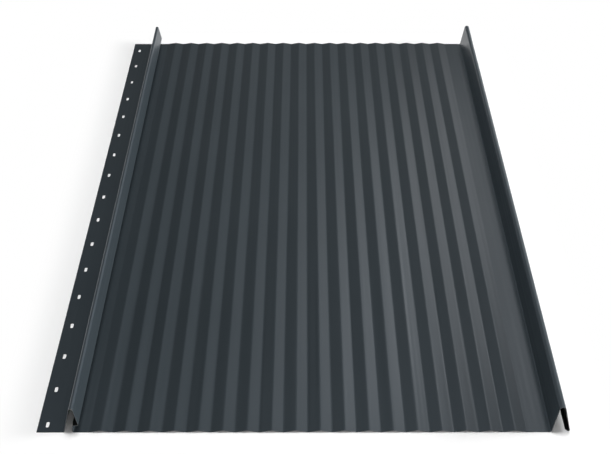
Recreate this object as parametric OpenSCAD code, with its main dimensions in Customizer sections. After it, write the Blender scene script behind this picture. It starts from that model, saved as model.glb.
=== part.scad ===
// Snap-lock standing-seam roofing panel with a finely waved pan, roll-formed from one strip of steel.
// It lies on its pan: length along Y, nailing strip and male seam at -X, female seam at +X.

/* [Sheet] */
// Length of the panel
sheet_length = 1000; // [400:50:2000]
// Cover width, from the top of one seam to the top of the other
cover_width = 510; // [300:5:600]
// Thickness of the coated steel
sheet_thickness = 0.5; // [0.4:0.05:0.8]
// Inside radius of the press bends at the foot of the seams, the barb and the lip
bend_radius = 1; // [0.6:0.1:1.6]

/* [Pan] */
// Distance from one wave crest to the next
wave_pitch = 25.5; // [18:0.5:40]
// Height of a crest over the valleys
wave_depth = 2; // [1:0.1:4]
// Radius of the crests and valleys at mid-thickness
wave_radius = 8; // [4:0.5:10]
// Flat between the male seam and the first wave
left_flat = 15; // [10:0.5:30]
// Least flat between the last wave and the female seam, the rest of the cover width is added to it
right_flat_least = 20; // [10:0.5:30]

/* [Nailing strip] */
// Flat width of the strip, from its cut edge to the foot of the male seam
strip_width = 28; // [20:0.5:40]
// Distance from the cut edge to the line of slots
slot_line = 10; // [6:0.5:14]
// Distance from one slot to the next
slot_pitch = 60; // [30:5:120]
// Distance from the near end of the panel to the middle of the first slot
first_slot = 12.5; // [12:0.5:60]
// Width of a slot
slot_width = 3.5; // [3:0.1:6]
// Length of a slot over its round ends
slot_length = 9.5; // [7:0.5:20]

/* [Male seam] */
// Height of the male seam over the underside of the pan
male_height = 31.2; // [26:0.2:40]
// Lean of the wall beside the nailing strip, from upright
male_strip_lean = 13; // [8:0.5:18]
// Lean of the wall beside the pan, from upright
male_pan_lean = 13; // [6:0.5:16]
// Inside radius of the top
male_top_radius = 2; // [1.4:0.1:3.5]
// Height of the outermost point of the barb
barb_height = 10.4; // [8:0.2:14]
// Overhang of the barb over the neck below it, the ledge that the neighbour's lip snaps under
ledge_width = 6.2; // [4.4:0.2:8]
// Fall of the ledge towards the neck, from level
ledge_fall = 4; // [0:1:12]

/* [Female seam] */
// Air between the male top and the female top that covers it
seam_clearance = 1.2; // [0.6:0.1:2]
// Lean of the wall beside the pan, from upright
female_pan_lean = 12; // [8:0.5:16]
// Lean of the free leg, from upright
free_leg_lean = 12.5; // [8:0.5:16]
// Height of the lowest point of the lip over the underside of the pan
lip_gap = 1.5; // [0.5:0.1:4]
// Flat width of the lip
lip_width = 3.6; // [2:0.2:6]
// Rise of the lip, from level
lip_rise = 40; // [20:1:60]

/* [Hidden] */
$fn = 48;
bend_step = 8;
half = sheet_thickness / 2;
press_bend = bend_radius + half;

// The facets of a wave lean so that its pitch, depth and bend radius agree.
wave_bend = min(wave_radius, 0.24 * (wave_pitch * wave_pitch / 4 + wave_depth * wave_depth) / wave_depth);
wave_rest = 2 * wave_bend - wave_depth;
wave_lean = asin(2 * wave_bend / norm([wave_pitch / 2, wave_rest])) - atan2(wave_rest, wave_pitch / 2);
wave_facet = (wave_pitch / 2 - 2 * wave_bend * sin(wave_lean)) / cos(wave_lean);

// Flat lengths of the seam walls, from the heights they have to reach.
male_top = male_top_radius + half;
male_rise = male_height - sheet_thickness;
barb_rise = barb_height - half;
strip_wall = (male_rise - (press_bend + male_top) * (1 - sin(male_strip_lean))) / cos(male_strip_lean);
barb_drop = male_rise - barb_rise - male_top * (1 - sin(male_pan_lean)) - press_bend * sin(male_pan_lean);
pan_wall = barb_drop / cos(male_pan_lean);
ledge = (ledge_width - 2 * press_bend * (1 - sin(ledge_fall))) / cos(ledge_fall);
neck = barb_rise - press_bend * (1 + 2 * cos(ledge_fall)) - ledge * sin(ledge_fall);
female_top = male_top + sheet_thickness + seam_clearance / 2;
female_rise = male_rise + sheet_thickness + seam_clearance;
cover_wall = (female_rise - (press_bend + female_top) * (1 - sin(female_pan_lean))) / cos(female_pan_lean);
leg_drop = female_rise - lip_gap - female_top * (1 - sin(free_leg_lean));
free_leg = (leg_drop - press_bend * (1 + sin(free_leg_lean))) / cos(free_leg_lean);

// A strip is bent step by step: [flat length, turn, mid-thickness radius], a positive turn bends upward.
strip_steps = [
    [strip_width, 90 - male_strip_lean, press_bend],
    [strip_wall, male_strip_lean - 90, male_top]
];
male_steps = [
    [0, male_pan_lean - 90, male_top],
    [pan_wall, ledge_fall - male_pan_lean - 90, press_bend],
    [ledge, 90 - ledge_fall, press_bend],
    [neck, 90, press_bend]
];
cover_steps = [
    [0, 90 - female_pan_lean, press_bend],
    [cover_wall, female_pan_lean - 90, female_top]
];
leg_steps = [
    [0, free_leg_lean - 90, female_top],
    [free_leg, -90 - free_leg_lean - lip_rise, press_bend],
    [lip_width, 0, press_bend]
];

// What the seams leave of the cover width is filled with whole waves.
male_run = last(walk(male_steps))[0].x;
cover_run = last(walk(cover_steps))[0].x;
pan_width = cover_width - male_run - cover_run;
wave_count = floor((pan_width - left_flat - right_flat_least) / wave_pitch);
right_flat = pan_width - left_flat - wave_count * wave_pitch;
pan_steps = concat(
    [[left_flat, wave_lean, wave_bend]],
    [for (k = [1 : 2 * wave_count - 1]) [wave_facet, (k % 2 == 0 ? 2 : -2) * wave_lean, wave_bend]],
    [[wave_facet, wave_lean, wave_bend], [right_flat, 0, press_bend]]
);

// The section is the mid-thickness line moved half the thickness to either side.
all_steps = concat(strip_steps, male_steps, pan_steps, cover_steps, leg_steps);
middle = distinct(concat([[[0, 0], 0]], walk(all_steps)));
upper_side = [for (m = middle) m[0] + half * normal(m[1])];
under_side = [for (i = [len(middle) - 1 : -1 : 0]) middle[i][0] - half * normal(middle[i][1])];
section = concat(upper_side, under_side);
section_x = [for (p = section) p.x];
section_left = min(section_x);
section_middle = (section_left + max(section_x)) / 2;

slot_x = section_left + slot_line - section_middle;
slot_count = 1 + floor((sheet_length - 2 * first_slot) / slot_pitch);

function last(list) = list[len(list) - 1];

function along(heading) = [cos(heading), sin(heading)];

function normal(heading) = [-sin(heading), cos(heading)];

// Points of the bent strip as [place, heading], every bend in short chords.
function walk(steps, from = [0, 0], heading = 0, i = 0) =
    i == len(steps) ? [] : let (
        turn = steps[i][1],
        reach = sign(turn) * steps[i][2],
        centre = from + steps[i][0] * along(heading) + reach * normal(heading),
        count = ceil(abs(turn) / bend_step),
        bend = [for (k = [0 : count]) let (h = heading + turn * k / max(1, count)) [centre - reach * normal(h), h]]
    ) concat(bend, walk(steps, last(bend)[0], heading + turn, i + 1));

// The same points with repeated places left out.
function distinct(points) = [
    for (i = [0 : len(points) - 1])
        if (i == 0 || norm(points[i][0] - points[max(0, i - 1)][0]) > 0.001) points[i]
];

module strip_section() {
    polygon([for (p = section) [p.x - section_middle, p.y + half]]);
}

module nail_slot() {
    linear_extrude(height = 6 * sheet_thickness, center = true) {
        square([slot_width, slot_length - slot_width], center = true);
        for (end = [-1, 1])
            translate([0, end * (slot_length - slot_width) / 2])
                circle(d = slot_width);
    }
}

// The whole panel: one bent strip, slotted along its nailing edge.
module roof_panel() {
    color([0.22, 0.245, 0.26])
        difference() {
            rotate([90, 0, 0])
                linear_extrude(height = sheet_length, center = true)
                    strip_section();
            for (k = [0 : slot_count - 1])
                translate([slot_x, first_slot + k * slot_pitch - sheet_length / 2, half])
                    nail_slot();
        }
}

roof_panel();
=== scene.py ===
import math

import bmesh
import bpy
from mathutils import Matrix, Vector


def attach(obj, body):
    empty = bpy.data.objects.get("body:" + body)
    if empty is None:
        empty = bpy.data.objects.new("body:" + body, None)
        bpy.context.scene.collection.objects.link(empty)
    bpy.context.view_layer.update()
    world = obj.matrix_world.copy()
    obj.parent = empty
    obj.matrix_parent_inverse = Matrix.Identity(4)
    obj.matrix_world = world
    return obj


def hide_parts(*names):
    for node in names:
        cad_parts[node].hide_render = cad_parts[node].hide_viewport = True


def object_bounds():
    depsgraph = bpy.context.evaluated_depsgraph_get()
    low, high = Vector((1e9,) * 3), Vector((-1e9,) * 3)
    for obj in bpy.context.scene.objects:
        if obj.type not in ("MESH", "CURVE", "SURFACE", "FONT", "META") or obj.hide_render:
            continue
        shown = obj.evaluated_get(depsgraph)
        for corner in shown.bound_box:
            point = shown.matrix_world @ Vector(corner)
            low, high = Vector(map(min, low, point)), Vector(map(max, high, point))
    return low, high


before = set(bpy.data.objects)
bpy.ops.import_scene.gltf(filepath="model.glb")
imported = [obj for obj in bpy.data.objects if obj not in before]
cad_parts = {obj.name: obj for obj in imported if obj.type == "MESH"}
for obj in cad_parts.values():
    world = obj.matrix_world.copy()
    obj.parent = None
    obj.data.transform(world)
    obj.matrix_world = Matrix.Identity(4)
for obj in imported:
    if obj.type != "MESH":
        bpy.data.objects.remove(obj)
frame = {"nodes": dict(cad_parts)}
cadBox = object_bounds()
scene = bpy.context.scene
scene.view_settings.view_transform = "Standard"
mm = 0.001
print("frame loaded:", ", ".join(frame["nodes"]))


# adds one node with its settings; an input that is a socket gets a link, any other a plain value
def addNode(tree, kind, inputs=None, **settings):
    node = tree.nodes.new(kind)
    for name, value in settings.items():
        setattr(node, name, value)
    for key, value in (inputs or {}).items():
        if isinstance(value, bpy.types.NodeSocket):
            tree.links.new(value, node.inputs[key])
        else:
            node.inputs[key].default_value = value
    return node


# sRGB hex to the linear colour that shaders work in
def hexColour(text):
    parts = [int(text[i:i + 2], 16) / 255 for i in (1, 3, 5)]
    return tuple(c / 12.92 if c <= 0.04045 else ((c + 0.055) / 1.055) ** 2.4 for c in parts) + (1,)


def newMaterial(name):
    material = bpy.data.materials.new(name)
    material.use_nodes = True
    material.node_tree.nodes.clear()
    return material, material.node_tree


def sine(angle):
    return math.sin(math.radians(angle))


def cosine(angle):
    return math.cos(math.radians(angle))


# camera, from the photograph's viewing angle: metres, degrees, lens and sensor in millimetres
view = {
    "place": (0.00157, -1.63704, 0.93915),
    "pitchDown": 31.184,
    "turn": -0.053,
    "lens": 82.24,
    "sensor": 36,
}
cameraData = bpy.data.cameras.new("studioCamera")
cameraData.sensor_width = view["sensor"]
cameraData.lens = view["lens"]
camera = bpy.data.objects.new("studioCamera", cameraData)
camera.location = view["place"]
camera.rotation_euler = (math.radians(90 - view["pitchDown"]), 0, math.radians(view["turn"]))
scene.collection.objects.link(camera)
scene.camera = camera
print("camera set")


# coil-coated steel, satin polyester baked on flat strip before it is rolled to shape: an even anthracite
# with a soft sheen, a fine grain, faint roller lines down the coil and slightly paler tight bends
topCoat = {
    "colour": "#272e32",
    "paler": "#2b3236",
    "strained": "#343b40",        # paint that the tight bends have stretched
    "sheen": "#e3efff",           # the clear binder on top reflects a shade cooler than the pigment below
    "specular": 0.46,
    "roughness": 0.38,
    "roughnessSpread": 0.04,
    "cloud": 180,                 # mm, slow drift of the tone over the coil
    "rollerLine": 3,              # mm across the coil
    "rollerRun": 700,             # mm along it
    "grain": 1.6,                 # mm; the real one is about 0.1 and too fine to show
    "grainDepth": 0.012,          # mm
    "grainBump": 0.35,
    "shares": (0.5, 0.25, 0.25),  # of cloud, roller lines and grain in the tone
    "toneSpan": (0.35, 0.65),     # of that mix, from the colour to the paler one
    "lineSpan": (0.3, 0.7),       # of the roller lines, from smoother to rougher
}


def makeTopCoat(look):
    material, tree = newMaterial("coilCoatedSteel")
    run = addNode(tree, "ShaderNodeAttribute", attribute_name="run").outputs["Fac"]
    bend = addNode(tree, "ShaderNodeAttribute", attribute_name="bend").outputs["Fac"]
    place = addNode(tree, "ShaderNodeTexCoord").outputs["Object"]
    along = addNode(tree, "ShaderNodeSeparateXYZ", {0: place}).outputs["Y"]
    flat = addNode(tree, "ShaderNodeCombineXYZ", {"X": run, "Y": along}).outputs[0]   # unbent strip
    cloud = addNode(tree, "ShaderNodeTexNoise", {
        "Vector": flat, "Scale": 1 / (look["cloud"] * mm), "Detail": 3, "Roughness": 0.5}).outputs["Fac"]
    stretch = addNode(tree, "ShaderNodeMapping", {
        "Vector": flat,
        "Scale": (1 / (look["rollerLine"] * mm), 1 / (look["rollerRun"] * mm), 1)}).outputs[0]
    lines = addNode(tree, "ShaderNodeTexNoise", {
        "Vector": stretch, "Scale": 1, "Detail": 2, "Roughness": 0.6}).outputs["Fac"]
    grain = addNode(tree, "ShaderNodeTexNoise", {
        "Vector": place, "Scale": 1 / (look["grain"] * mm), "Detail": 2, "Roughness": 0.55}).outputs["Fac"]

    # tone: cloud, lines and grain together, then the strained paint on the tight bends
    tone = 0.0
    for pattern, share in zip((cloud, lines, grain), look["shares"]):
        tone = addNode(tree, "ShaderNodeMath", {
            0: pattern, 1: share, 2: tone}, operation="MULTIPLY_ADD").outputs[0]
    paleness = addNode(tree, "ShaderNodeMapRange", {
        "Value": tone, "From Min": look["toneSpan"][0], "From Max": look["toneSpan"][1]}).outputs[0]
    body = addNode(tree, "ShaderNodeMix", {
        "Factor": paleness, 6: hexColour(look["colour"]), 7: hexColour(look["paler"])},
        data_type="RGBA").outputs[2]
    strain = addNode(tree, "ShaderNodeMath", {0: bend, 1: grain}, operation="MULTIPLY").outputs[0]
    colour = addNode(tree, "ShaderNodeMix", {
        "Factor": strain, 6: body, 7: hexColour(look["strained"])}, data_type="RGBA").outputs[2]

    rough = addNode(tree, "ShaderNodeMapRange", {
        "Value": lines, "From Min": look["lineSpan"][0], "From Max": look["lineSpan"][1],
        "To Min": look["roughness"] - look["roughnessSpread"],
        "To Max": look["roughness"] + look["roughnessSpread"]}).outputs[0]
    bump = addNode(tree, "ShaderNodeBump", {
        "Height": grain, "Strength": look["grainBump"], "Distance": look["grainDepth"] * mm}).outputs[0]
    shader = addNode(tree, "ShaderNodeBsdfPrincipled", {
        "Base Color": colour, "Roughness": rough, "Normal": bump,
        "Specular IOR Level": look["specular"], "Specular Tint": hexColour(look["sheen"])})
    addNode(tree, "ShaderNodeOutputMaterial", {"Surface": shader.outputs[0]})
    return material


# epoxy back coat, a thin matt wash on the side that lies down: darker, drier, a little patchy
backCoat = {
    "colour": "#1b1d1e",
    "patch": "#262829",
    "roughness": 0.62,
    "patchSize": 40,      # mm
    "grain": 2,           # mm
    "grainDepth": 0.01,   # mm
    "grainBump": 0.3,
}


def makeBackCoat(look):
    material, tree = newMaterial("epoxyBackCoat")
    place = addNode(tree, "ShaderNodeTexCoord").outputs["Object"]
    patch = addNode(tree, "ShaderNodeTexNoise", {
        "Vector": place, "Scale": 1 / (look["patchSize"] * mm), "Detail": 4}).outputs["Fac"]
    grain = addNode(tree, "ShaderNodeTexNoise", {
        "Vector": place, "Scale": 1 / (look["grain"] * mm), "Detail": 2}).outputs["Fac"]
    colour = addNode(tree, "ShaderNodeMix", {
        "Factor": patch, 6: hexColour(look["colour"]), 7: hexColour(look["patch"])},
        data_type="RGBA").outputs[2]
    bump = addNode(tree, "ShaderNodeBump", {
        "Height": grain, "Strength": look["grainBump"], "Distance": look["grainDepth"] * mm}).outputs[0]
    shader = addNode(tree, "ShaderNodeBsdfPrincipled", {
        "Base Color": colour, "Roughness": look["roughness"], "Normal": bump})
    addNode(tree, "ShaderNodeOutputMaterial", {"Surface": shader.outputs[0]})
    return material


# zinc-coated steel where the shear cut through it: bare grey metal, mottled by the shear marks
cutEdge = {
    "colour": "#6e7173",
    "dull": "#4c4f51",
    "roughness": 0.5,
    "roughnessSpread": 0.1,
    "mark": 1.2,   # mm; the real marks are finer and would not show
}


def makeCutEdge(look):
    material, tree = newMaterial("shearedSteel")
    place = addNode(tree, "ShaderNodeTexCoord").outputs["Object"]
    marks = addNode(tree, "ShaderNodeTexNoise", {
        "Vector": place, "Scale": 1 / (look["mark"] * mm), "Detail": 3}).outputs["Fac"]
    colour = addNode(tree, "ShaderNodeMix", {
        "Factor": marks, 6: hexColour(look["dull"]), 7: hexColour(look["colour"])},
        data_type="RGBA").outputs[2]
    rough = addNode(tree, "ShaderNodeMapRange", {
        "Value": marks,
        "To Min": look["roughness"] - look["roughnessSpread"],
        "To Max": look["roughness"] + look["roughnessSpread"]}).outputs[0]
    shader = addNode(tree, "ShaderNodeBsdfPrincipled", {
        "Base Color": colour, "Roughness": rough, "Metallic": 1})
    addNode(tree, "ShaderNodeOutputMaterial", {"Surface": shader.outputs[0]})
    return material


# the panel as it leaves the rolls, in millimetres and degrees, radii of the bends at mid-thickness
panel = {
    "length": 1000, "cover": 510, "thickness": 0.5, "pressBend": 1.25,
    "wavePitch": 25.5, "waveDepth": 2, "waveBend": 8, "leftFlat": 15, "rightFlatLeast": 20,
    "stripWidth": 28, "slotLine": 10, "slotPitch": 60, "firstSlot": 12.5,
    "slotWidth": 3.5, "slotLength": 9.5, "punchDepth": 4, "pinSides": 32,
    "maleHeight": 31.2, "stripLean": 13, "maleLean": 13, "maleTop": 2.25,
    "barbHeight": 10.4, "ledgeWidth": 6.2, "ledgeFall": 4,
    "clearance": 1.2, "femaleLean": 12, "legLean": 12.5, "lipGap": 1.5, "lipWidth": 3.6, "lipRise": 40,
    "tightBelow": 4,                     # a bend of less radius strains the paint
    "waveChord": 2.5, "pressChord": 7,   # degrees of bend that one face takes
    "flatLeast": 3, "flatInset": 0.5,    # a longer flat gets points this far from its ends, to stay flat
    "rowLength": 20,                     # of panel that one row of faces takes
    "sharpAngle": 32,                    # from here on an edge is shaded as a crease
    "ripple": 0.2, "rippleSize": 190,    # slow unevenness of the pan, its rise and its span
    "rippleHalf": 225, "seed": 4,        # where it has faded out, from the middle; seed of its noise
}


# bends a strip step by step, each step (flat, turn, radius): gives (place, heading, tightness of the bend)
def bendStrip(steps, size):
    place, heading = Vector((0, 0)), 0
    points = [(place, heading, 0)]
    for flat, turn, radius in steps:
        ahead = Vector((cosine(heading), sine(heading)))
        if flat > size["flatLeast"]:
            for part in (size["flatInset"], flat - size["flatInset"]):
                points.append((place + part * ahead, heading, 0))
        place = place + flat * ahead
        reach = math.copysign(radius, turn)
        centre = place + reach * Vector((-ahead.y, ahead.x))
        isTight = radius < size["tightBelow"]
        count = max(1, math.ceil(abs(turn) / size["pressChord" if isTight else "waveChord"]))
        for k in range(count + 1):
            angle = heading + turn * k / count
            side = Vector((-sine(angle), cosine(angle)))
            points.append((centre - reach * side, angle, 1 if isTight and 0 < k < count else 0))
        heading += turn
        place = points[-1][0]
    clean = points[:1]
    for point in points[1:]:
        if (point[0] - clean[-1][0]).length > 0.001:   # a step with no flat repeats a point
            clean.append(point)
    return clean


# the mid-thickness line from the nailing strip's edge to the tip of the lip
def panelLine(size):
    sheet, press, wave = size["thickness"], size["pressBend"], size["waveBend"]
    rest = 2 * wave - size["waveDepth"]
    reach = math.hypot(size["wavePitch"] / 2, rest)
    lean = math.degrees(math.asin(2 * wave / reach) - math.atan2(rest, size["wavePitch"] / 2))
    facet = (size["wavePitch"] / 2 - 2 * wave * sine(lean)) / cosine(lean)

    # male seam: flat lengths of its walls, from the heights they have to reach
    stripLean, maleLean, fall, top = size["stripLean"], size["maleLean"], size["ledgeFall"], size["maleTop"]
    rise, barb = size["maleHeight"] - sheet, size["barbHeight"] - sheet / 2
    stripWall = (rise - (press + top) * (1 - sine(stripLean))) / cosine(stripLean)
    panWall = (rise - barb - top * (1 - sine(maleLean)) - press * sine(maleLean)) / cosine(maleLean)
    ledge = (size["ledgeWidth"] - 2 * press * (1 - sine(fall))) / cosine(fall)
    neck = barb - press * (1 + 2 * cosine(fall)) - ledge * sine(fall)
    strip = [(size["stripWidth"], 90 - stripLean, press), (stripWall, stripLean - 90, top)]
    male = [
        (0, maleLean - 90, top),
        (panWall, fall - maleLean - 90, press),
        (ledge, 90 - fall, press),
        (neck, 90, press),
    ]

    # female seam, wider by the sheet and the clearance
    femaleLean, legLean = size["femaleLean"], size["legLean"]
    crown, climb = top + sheet + size["clearance"] / 2, rise + sheet + size["clearance"]
    coverWall = (climb - (press + crown) * (1 - sine(femaleLean))) / cosine(femaleLean)
    legDrop = climb - size["lipGap"] - crown * (1 - sine(legLean)) - press * (1 + sine(legLean))
    cover = [(0, 90 - femaleLean, press), (coverWall, femaleLean - 90, crown)]
    leg = [
        (0, legLean - 90, crown),
        (legDrop / cosine(legLean), -90 - legLean - size["lipRise"], press),
        (size["lipWidth"], 0, press),
    ]

    # whole waves fill what the seams leave of the cover width
    panWidth = size["cover"] - bendStrip(male, size)[-1][0].x - bendStrip(cover, size)[-1][0].x
    waves = int((panWidth - size["leftFlat"] - size["rightFlatLeast"]) / size["wavePitch"])
    rightFlat = panWidth - size["leftFlat"] - waves * size["wavePitch"]
    pan = [(size["leftFlat"], lean, wave)]
    pan += [(facet, (2 if k % 2 == 0 else -2) * lean, wave) for k in range(1, 2 * waves)]
    pan += [(facet, lean, wave), (rightFlat, 0, press)]
    print("panel line:", waves, "waves, facet lean", round(lean, 2))
    return bendStrip(strip + male + pan + cover + leg, size)


# closed outline of the sheet, drawn flat: X across the panel, Y down, for the sweep below;
# its points carry their side of the sheet, their run across the strip and the tightness of the bend
def sheetOutline(size):
    line, half = panelLine(size), size["thickness"] / 2
    upper, under = [], []
    run, before = 0, line[0][0]
    for place, heading, tight in line:
        run += (place - before).length
        before = place
        side = Vector((-sine(heading), cosine(heading)))
        upper.append((place + half * side, 0, run, tight))
        under.append((place - half * side, 1, run, tight))
    outline = upper + under[::-1]
    left, right = min(p[0].x for p in outline), max(p[0].x for p in outline)
    middle = (left + right) / 2
    count = len(outline)
    mesh = bpy.data.meshes.new("sheetOutline")
    mesh.from_pydata(
        [((p[0].x - middle) * mm, -(p[0].y + half) * mm, 0) for p in outline],
        [(i, (i + 1) % count) for i in range(count)], [])
    for name, column, unit in (("side", 1, 1), ("run", 2, mm), ("bend", 3, 1)):
        layer = mesh.attributes.new(name, "FLOAT", "POINT")
        layer.data.foreach_set("value", [p[column] * unit for p in outline])
    return mesh, left - middle


# sweeps the outline down the panel, punches the row of nail slots and gives each side its finish
def sheetTree():
    tree = bpy.data.node_groups.new("rollFormedSheet", "GeometryNodeTree")
    sockets = (
        ("Geometry", "Geometry"), ("Length", "Float"), ("Rows", "Int"), ("Thickness", "Float"),
        ("Slot Count", "Int"), ("Slot Pitch", "Float"), ("First Slot", "Float"), ("Slot Line", "Float"),
        ("Slot Width", "Float"), ("Slot Length", "Float"), ("Punch Depth", "Float"), ("Pin Sides", "Int"),
        ("Ripple", "Float"), ("Ripple Size", "Float"), ("Ripple Half", "Float"), ("Seed", "Float"),
        ("Top Coat", "Material"), ("Back Coat", "Material"), ("Cut Edge", "Material"))
    for name, kind in sockets:
        tree.interface.new_socket(name=name, in_out="INPUT", socket_type="NodeSocket" + kind)
    tree.interface.new_socket(name="Geometry", in_out="OUTPUT", socket_type="NodeSocketGeometry")
    given = addNode(tree, "NodeGroupInput").outputs

    # the sweep
    farEnd = addNode(tree, "ShaderNodeMath", {0: given["Length"], 1: 0.5}, operation="MULTIPLY").outputs[0]
    nearEnd = addNode(tree, "ShaderNodeMath", {0: farEnd, 1: -1}, operation="MULTIPLY").outputs[0]
    start = addNode(tree, "ShaderNodeCombineXYZ", {"Y": nearEnd}).outputs[0]
    end = addNode(tree, "ShaderNodeCombineXYZ", {"Y": farEnd}).outputs[0]
    path = addNode(tree, "GeometryNodeCurvePrimitiveLine", {"Start": start, "End": end}).outputs[0]
    rows = addNode(tree, "GeometryNodeResampleCurve", {"Curve": path, "Count": given["Rows"]}).outputs[0]
    upright = addNode(tree, "GeometryNodeSetCurveNormal", {"Curve": rows}, mode="Z_UP").outputs[0]
    outline = addNode(tree, "GeometryNodeMeshToCurve", {"Mesh": given["Geometry"]}).outputs[0]
    swept = addNode(tree, "GeometryNodeCurveToMesh", {
        "Curve": upright, "Profile Curve": outline, "Fill Caps": True}).outputs[0]

    # zone of every face: 0 painted, 1 cut, 2 back; a cut face has corners on both sides of the sheet,
    # so the mean of its corners is a half
    side = addNode(tree, "GeometryNodeInputNamedAttribute", {
        "Name": "side"}, data_type="FLOAT").outputs[0]
    notUpper = addNode(tree, "ShaderNodeMath", {0: side, 1: 0.25}, operation="GREATER_THAN").outputs[0]
    isUnder = addNode(tree, "ShaderNodeMath", {0: side, 1: 0.75}, operation="GREATER_THAN").outputs[0]
    zone = addNode(tree, "ShaderNodeMath", {0: notUpper, 1: isUnder}, operation="ADD").outputs[0]
    zoned = addNode(tree, "GeometryNodeStoreNamedAttribute", {
        "Geometry": swept, "Name": "zone", "Value": zone}, data_type="FLOAT", domain="FACE").outputs[0]
    painted = addNode(tree, "GeometryNodeSetMaterial", {
        "Geometry": zoned, "Material": given["Top Coat"]}).outputs[0]

    # one punch: the hull of two round pins
    radius = addNode(tree, "ShaderNodeMath", {
        0: given["Slot Width"], 1: 0.5}, operation="MULTIPLY").outputs[0]
    pin = addNode(tree, "GeometryNodeMeshCylinder", {
        "Vertices": given["Pin Sides"], "Radius": radius, "Depth": given["Punch Depth"]}).outputs[0]
    spread = addNode(tree, "ShaderNodeMath", {
        0: given["Slot Length"], 1: given["Slot Width"]}, operation="SUBTRACT").outputs[0]
    back = addNode(tree, "ShaderNodeMath", {0: spread, 1: -0.5}, operation="MULTIPLY").outputs[0]
    pinStart = addNode(tree, "ShaderNodeCombineXYZ", {"Y": back}).outputs[0]
    pinStep = addNode(tree, "ShaderNodeCombineXYZ", {"Y": spread}).outputs[0]
    pinLine = addNode(tree, "GeometryNodeMeshLine", {
        "Count": 2, "Start Location": pinStart, "Offset": pinStep}).outputs[0]
    pins = addNode(tree, "GeometryNodeInstanceOnPoints", {"Points": pinLine, "Instance": pin}).outputs[0]
    pinMesh = addNode(tree, "GeometryNodeRealizeInstances", {"Geometry": pins}).outputs[0]
    punch = addNode(tree, "GeometryNodeConvexHull", {"Geometry": pinMesh}).outputs[0]
    cutZone = addNode(tree, "GeometryNodeStoreNamedAttribute", {
        "Geometry": punch, "Name": "zone", "Value": 1.0}, data_type="FLOAT", domain="FACE").outputs[0]
    bare = addNode(tree, "GeometryNodeSetMaterial", {
        "Geometry": cutZone, "Material": given["Cut Edge"]}).outputs[0]

    # the row of punches down the nailing strip
    firstY = addNode(tree, "ShaderNodeMath", {
        0: nearEnd, 1: given["First Slot"]}, operation="ADD").outputs[0]
    middle = addNode(tree, "ShaderNodeMath", {
        0: given["Thickness"], 1: 0.5}, operation="MULTIPLY").outputs[0]
    rowStart = addNode(tree, "ShaderNodeCombineXYZ", {
        "X": given["Slot Line"], "Y": firstY, "Z": middle}).outputs[0]
    rowStep = addNode(tree, "ShaderNodeCombineXYZ", {"Y": given["Slot Pitch"]}).outputs[0]
    row = addNode(tree, "GeometryNodeMeshLine", {
        "Count": given["Slot Count"], "Start Location": rowStart, "Offset": rowStep}).outputs[0]
    punches = addNode(tree, "GeometryNodeInstanceOnPoints", {"Points": row, "Instance": bare}).outputs[0]
    punchMesh = addNode(tree, "GeometryNodeRealizeInstances", {"Geometry": punches}).outputs[0]
    slotted = addNode(tree, "GeometryNodeMeshBoolean", {
        "Mesh 1": painted, "Mesh 2": punchMesh}, operation="DIFFERENCE", solver="EXACT").outputs[0]

    # slow unevenness of the pan, lifted off the ground and fading out towards the seams
    position = addNode(tree, "GeometryNodeInputPosition").outputs[0]
    at = addNode(tree, "ShaderNodeSeparateXYZ", {0: position}).outputs
    overPan = addNode(tree, "ShaderNodeCombineXYZ", {
        "X": at["X"], "Y": at["Y"], "Z": given["Seed"]}).outputs[0]
    perMetre = addNode(tree, "ShaderNodeMath", {
        0: 1.0, 1: given["Ripple Size"]}, operation="DIVIDE").outputs[0]
    noise = addNode(tree, "ShaderNodeTexNoise", {
        "Vector": overPan, "Scale": perMetre, "Detail": 1}).outputs["Fac"]
    away = addNode(tree, "ShaderNodeMath", {0: at["X"]}, operation="ABSOLUTE").outputs[0]
    fade = addNode(tree, "ShaderNodeMapRange", {
        "Value": away, "From Min": given["Ripple Half"], "From Max": 0.0},
        interpolation_type="SMOOTHERSTEP").outputs[0]
    lift = addNode(tree, "ShaderNodeMath", {0: noise, 1: fade}, operation="MULTIPLY").outputs[0]
    rise = addNode(tree, "ShaderNodeMath", {0: lift, 1: given["Ripple"]}, operation="MULTIPLY").outputs[0]
    offset = addNode(tree, "ShaderNodeCombineXYZ", {"Z": rise}).outputs[0]
    uneven = addNode(tree, "GeometryNodeSetPosition", {"Geometry": slotted, "Offset": offset}).outputs[0]
    smooth = addNode(tree, "GeometryNodeSetShadeSmooth", {"Geometry": uneven}).outputs[0]
    last = addNode(tree, "GeometryNodeRealizeInstances", {"Geometry": smooth}).outputs[0]

    # finishes by zone, each over the ones before it
    ofZone = addNode(tree, "GeometryNodeInputNamedAttribute", {
        "Name": "zone"}, data_type="FLOAT").outputs[0]
    for number, name in enumerate(("Top Coat", "Cut Edge", "Back Coat")):
        chosen = addNode(tree, "ShaderNodeMath", {
            0: ofZone, 1: number - 0.5}, operation="GREATER_THAN").outputs[0]
        last = addNode(tree, "GeometryNodeSetMaterial", {
            "Geometry": last, "Selection": chosen, "Material": given[name]}).outputs[0]
    addNode(tree, "NodeGroupOutput", {"Geometry": last})
    return tree


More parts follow.
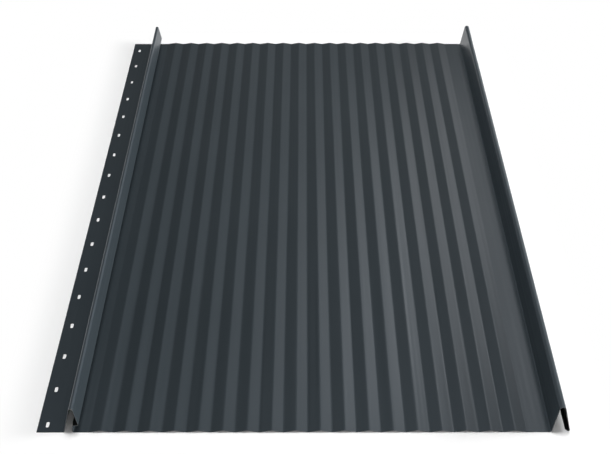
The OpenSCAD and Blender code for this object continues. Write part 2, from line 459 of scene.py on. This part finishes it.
def makePanel(size):
    outline, stripEdge = sheetOutline(size)
    piece = bpy.data.objects.new("roofPanelSheet", outline)
    scene.collection.objects.link(piece)
    tree = sheetTree()
    values = {
        "Length": size["length"] * mm,
        "Rows": int(size["length"] / size["rowLength"]) + 1,
        "Thickness": size["thickness"] * mm,
        "Slot Count": 1 + int((size["length"] - 2 * size["firstSlot"]) / size["slotPitch"]),
        "Slot Pitch": size["slotPitch"] * mm,
        "First Slot": size["firstSlot"] * mm,
        "Slot Line": (stripEdge + size["slotLine"]) * mm,
        "Slot Width": size["slotWidth"] * mm,
        "Slot Length": size["slotLength"] * mm,
        "Punch Depth": size["punchDepth"] * mm,
        "Pin Sides": size["pinSides"],
        "Ripple": size["ripple"] * mm,
        "Ripple Size": size["rippleSize"] * mm,
        "Ripple Half": size["rippleHalf"] * mm,
        "Seed": float(size["seed"]),
        "Top Coat": makeTopCoat(topCoat),
        "Back Coat": makeBackCoat(backCoat),
        "Cut Edge": makeCutEdge(cutEdge),
    }
    modifier = piece.modifiers.new("rollForming", "NODES")
    modifier.node_group = tree
    for item in tree.interface.items_tree:
        if item.in_out == "INPUT" and item.name in values:
            modifier[item.identifier] = values[item.name]
    graph = bpy.context.evaluated_depsgraph_get()
    mesh = bpy.data.meshes.new_from_object(
        piece.evaluated_get(graph), preserve_all_data_layers=True, depsgraph=graph)
    piece.modifiers.remove(modifier)
    piece.data = mesh
    mesh.name = "roofPanelSheet"
    mesh.set_sharp_from_angle(angle=math.radians(size["sharpAngle"]))
    return piece


sheet = makePanel(panel)
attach(sheet, "root")
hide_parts("roof_panel")
print("panel formed:", len(sheet.data.polygons), "faces,", [m.name for m in sheet.data.materials])


# pale sweep, in metres: a wide floor that turns up into a low wall, which is so far off that the pan
# does not mirror it
sweep = {
    "rings": (0.02, 2, 8),   # radii of the flat middle
    "radius": 40, "cove": 2.5, "coveSteps": 12, "wall": 3, "around": 96,
    "colour": "#f8f8f8",
    "shadowReach": 0.05,     # round the panel, in which the floor keeps its shadow
}


def makeSweep(look):
    corner = look["radius"] - look["cove"]
    profile = [(radius, 0) for radius in look["rings"]] + [(corner, 0)]
    for k in range(1, look["coveSteps"] + 1):
        angle = 90 * k / look["coveSteps"]
        profile.append((corner + look["cove"] * sine(angle), look["cove"] * (1 - cosine(angle))))
    profile.append((look["radius"], look["wall"]))
    turns = [360 * k / look["around"] for k in range(look["around"])]
    form = bmesh.new()
    rings = []
    for radius, height in profile:
        rings.append([form.verts.new((radius * cosine(t), radius * sine(t), height)) for t in turns])
    form.faces.new(rings[0])
    for inner, outer in zip(rings, rings[1:]):
        for k in range(look["around"]):
            form.faces.new((inner[k], outer[k], outer[k - 1], inner[k - 1]))
    bmesh.ops.recalc_face_normals(form, faces=form.faces)
    mesh = bpy.data.meshes.new("paleSweep")
    form.to_mesh(mesh)
    form.free()
    if mesh.polygons[0].normal.z < 0:
        mesh.flip_normals()
    for face in mesh.polygons:
        face.use_smooth = True
    return bpy.data.objects.new("paleSweep", mesh)


# matt white paint: its own shade near the panel, where the shadow falls, and plain white further out
# for the camera and for reflections
def makeSweepPaint(look):
    material, tree = newMaterial("mattWhitePaint")
    ray = addNode(tree, "ShaderNodeLightPath").outputs
    mirrored = addNode(tree, "ShaderNodeMath", {
        0: ray["Is Glossy Ray"], 1: ray["Is Transmission Ray"]}, operation="MAXIMUM").outputs[0]
    seen = addNode(tree, "ShaderNodeMath", {
        0: ray["Is Camera Ray"], 1: mirrored}, operation="MAXIMUM").outputs[0]
    place = addNode(tree, "ShaderNodeTexCoord").outputs["Object"]
    span = addNode(tree, "ShaderNodeVectorMath", {0: place}, operation="ABSOLUTE").outputs[0]
    corner = (cadBox[1].x, cadBox[1].y, 0)
    past = addNode(tree, "ShaderNodeVectorMath", {0: span, 1: corner}, operation="SUBTRACT").outputs[0]
    sides = addNode(tree, "ShaderNodeSeparateXYZ", {0: past}).outputs
    away = addNode(tree, "ShaderNodeMath", {0: sides["X"], 1: sides["Y"]}, operation="MAXIMUM").outputs[0]
    outside = addNode(tree, "ShaderNodeMapRange", {
        "Value": away, "From Min": 0.0, "From Max": look["shadowReach"]},
        interpolation_type="SMOOTHSTEP").outputs[0]
    share = addNode(tree, "ShaderNodeMath", {0: seen, 1: outside}, operation="MULTIPLY").outputs[0]
    paint = addNode(tree, "ShaderNodeBsdfDiffuse", {"Color": hexColour(look["colour"])}).outputs[0]
    white = addNode(tree, "ShaderNodeEmission", {"Strength": 1.0}).outputs[0]
    both = addNode(tree, "ShaderNodeMixShader", {0: share, 1: paint, 2: white})
    addNode(tree, "ShaderNodeOutputMaterial", {"Surface": both.outputs[0]})
    return material


floor = makeSweep(sweep)
floor.data.materials.append(makeSweepPaint(sweep))
scene.collection.objects.link(floor)
print("floor laid")


# soft boxes: place and size across and up in metres, power in watts; all face the middle of the panel,
# and a fill lights the paint without showing in its gloss
softBoxes = {
    "overhead": {"place": (0, 0.05, 2.6), "size": (1.4, 1.4), "power": 51},
    "front": {"place": (0, -2.47, 0.8), "size": (1.4, 1.4), "power": 15, "fill": True},
    "frontSheen": {"place": (0.5, -2.45, 0.6), "size": (0.8, 1.0), "power": 5},
    "lowRight": {"place": (2.58, 0, 0.37), "size": (1.0, 0.72), "power": 128, "fill": True},
    "rightSheen": {"place": (2.56, 0, 0.47), "size": (2.4, 0.9), "power": 12},
    "frontRightSheen": {"place": (1.8, -1.8, 0.47), "size": (1.8, 0.9), "power": 8},
    "leftSheen": {"place": (-2.5, 0.67, 0.47), "size": (2.4, 0.9), "power": 8},
    "lowLeft": {"place": (-2.5, 0.67, 0.3), "size": (1.0, 0.58), "power": 26, "fill": True},
    "backRight": {"place": (0.99, 2.51, 1.31), "size": (1.04, 0.31), "power": 1.6},
    "backRightHigh": {"place": (0.96, 2.16, 1.85), "size": (0.26, 0.31), "power": 5},
    "backMiddle": {"place": (0.2, 2.81, 1.03), "size": (0.26, 0.31), "power": 0.25},
    "backLeft": {"place": (-0.41, 2.73, 1.17), "size": (1.04, 0.62), "power": 0.4},
    "farCorner": {"place": (0.45, 0.7, 0.35), "size": (0.4, 0.4), "power": 0.32},
}
room = {"colour": "#ffffff", "strength": 0.03}


def makeLights(boxes):
    for name, box in boxes.items():
        data = bpy.data.lights.new(name, "AREA")
        data.shape = "RECTANGLE"
        data.size, data.size_y = box["size"]
        data.energy = box["power"]
        lamp = bpy.data.objects.new(name, data)
        lamp.location = box["place"]
        lamp.rotation_euler = (-lamp.location).to_track_quat("-Z", "Y").to_euler()
        lamp.visible_camera = False
        lamp.visible_glossy = not box.get("fill")
        scene.collection.objects.link(lamp)


def makeRoom(look):
    world = bpy.data.worlds.new("studioRoom")
    scene.world = world
    world.use_nodes = True
    world.node_tree.nodes.clear()
    light = addNode(world.node_tree, "ShaderNodeBackground", {
        "Color": hexColour(look["colour"]), "Strength": look["strength"]})
    addNode(world.node_tree, "ShaderNodeOutputWorld", {"Surface": light.outputs[0]})


makeLights(softBoxes)
makeRoom(room)
print("lights set")
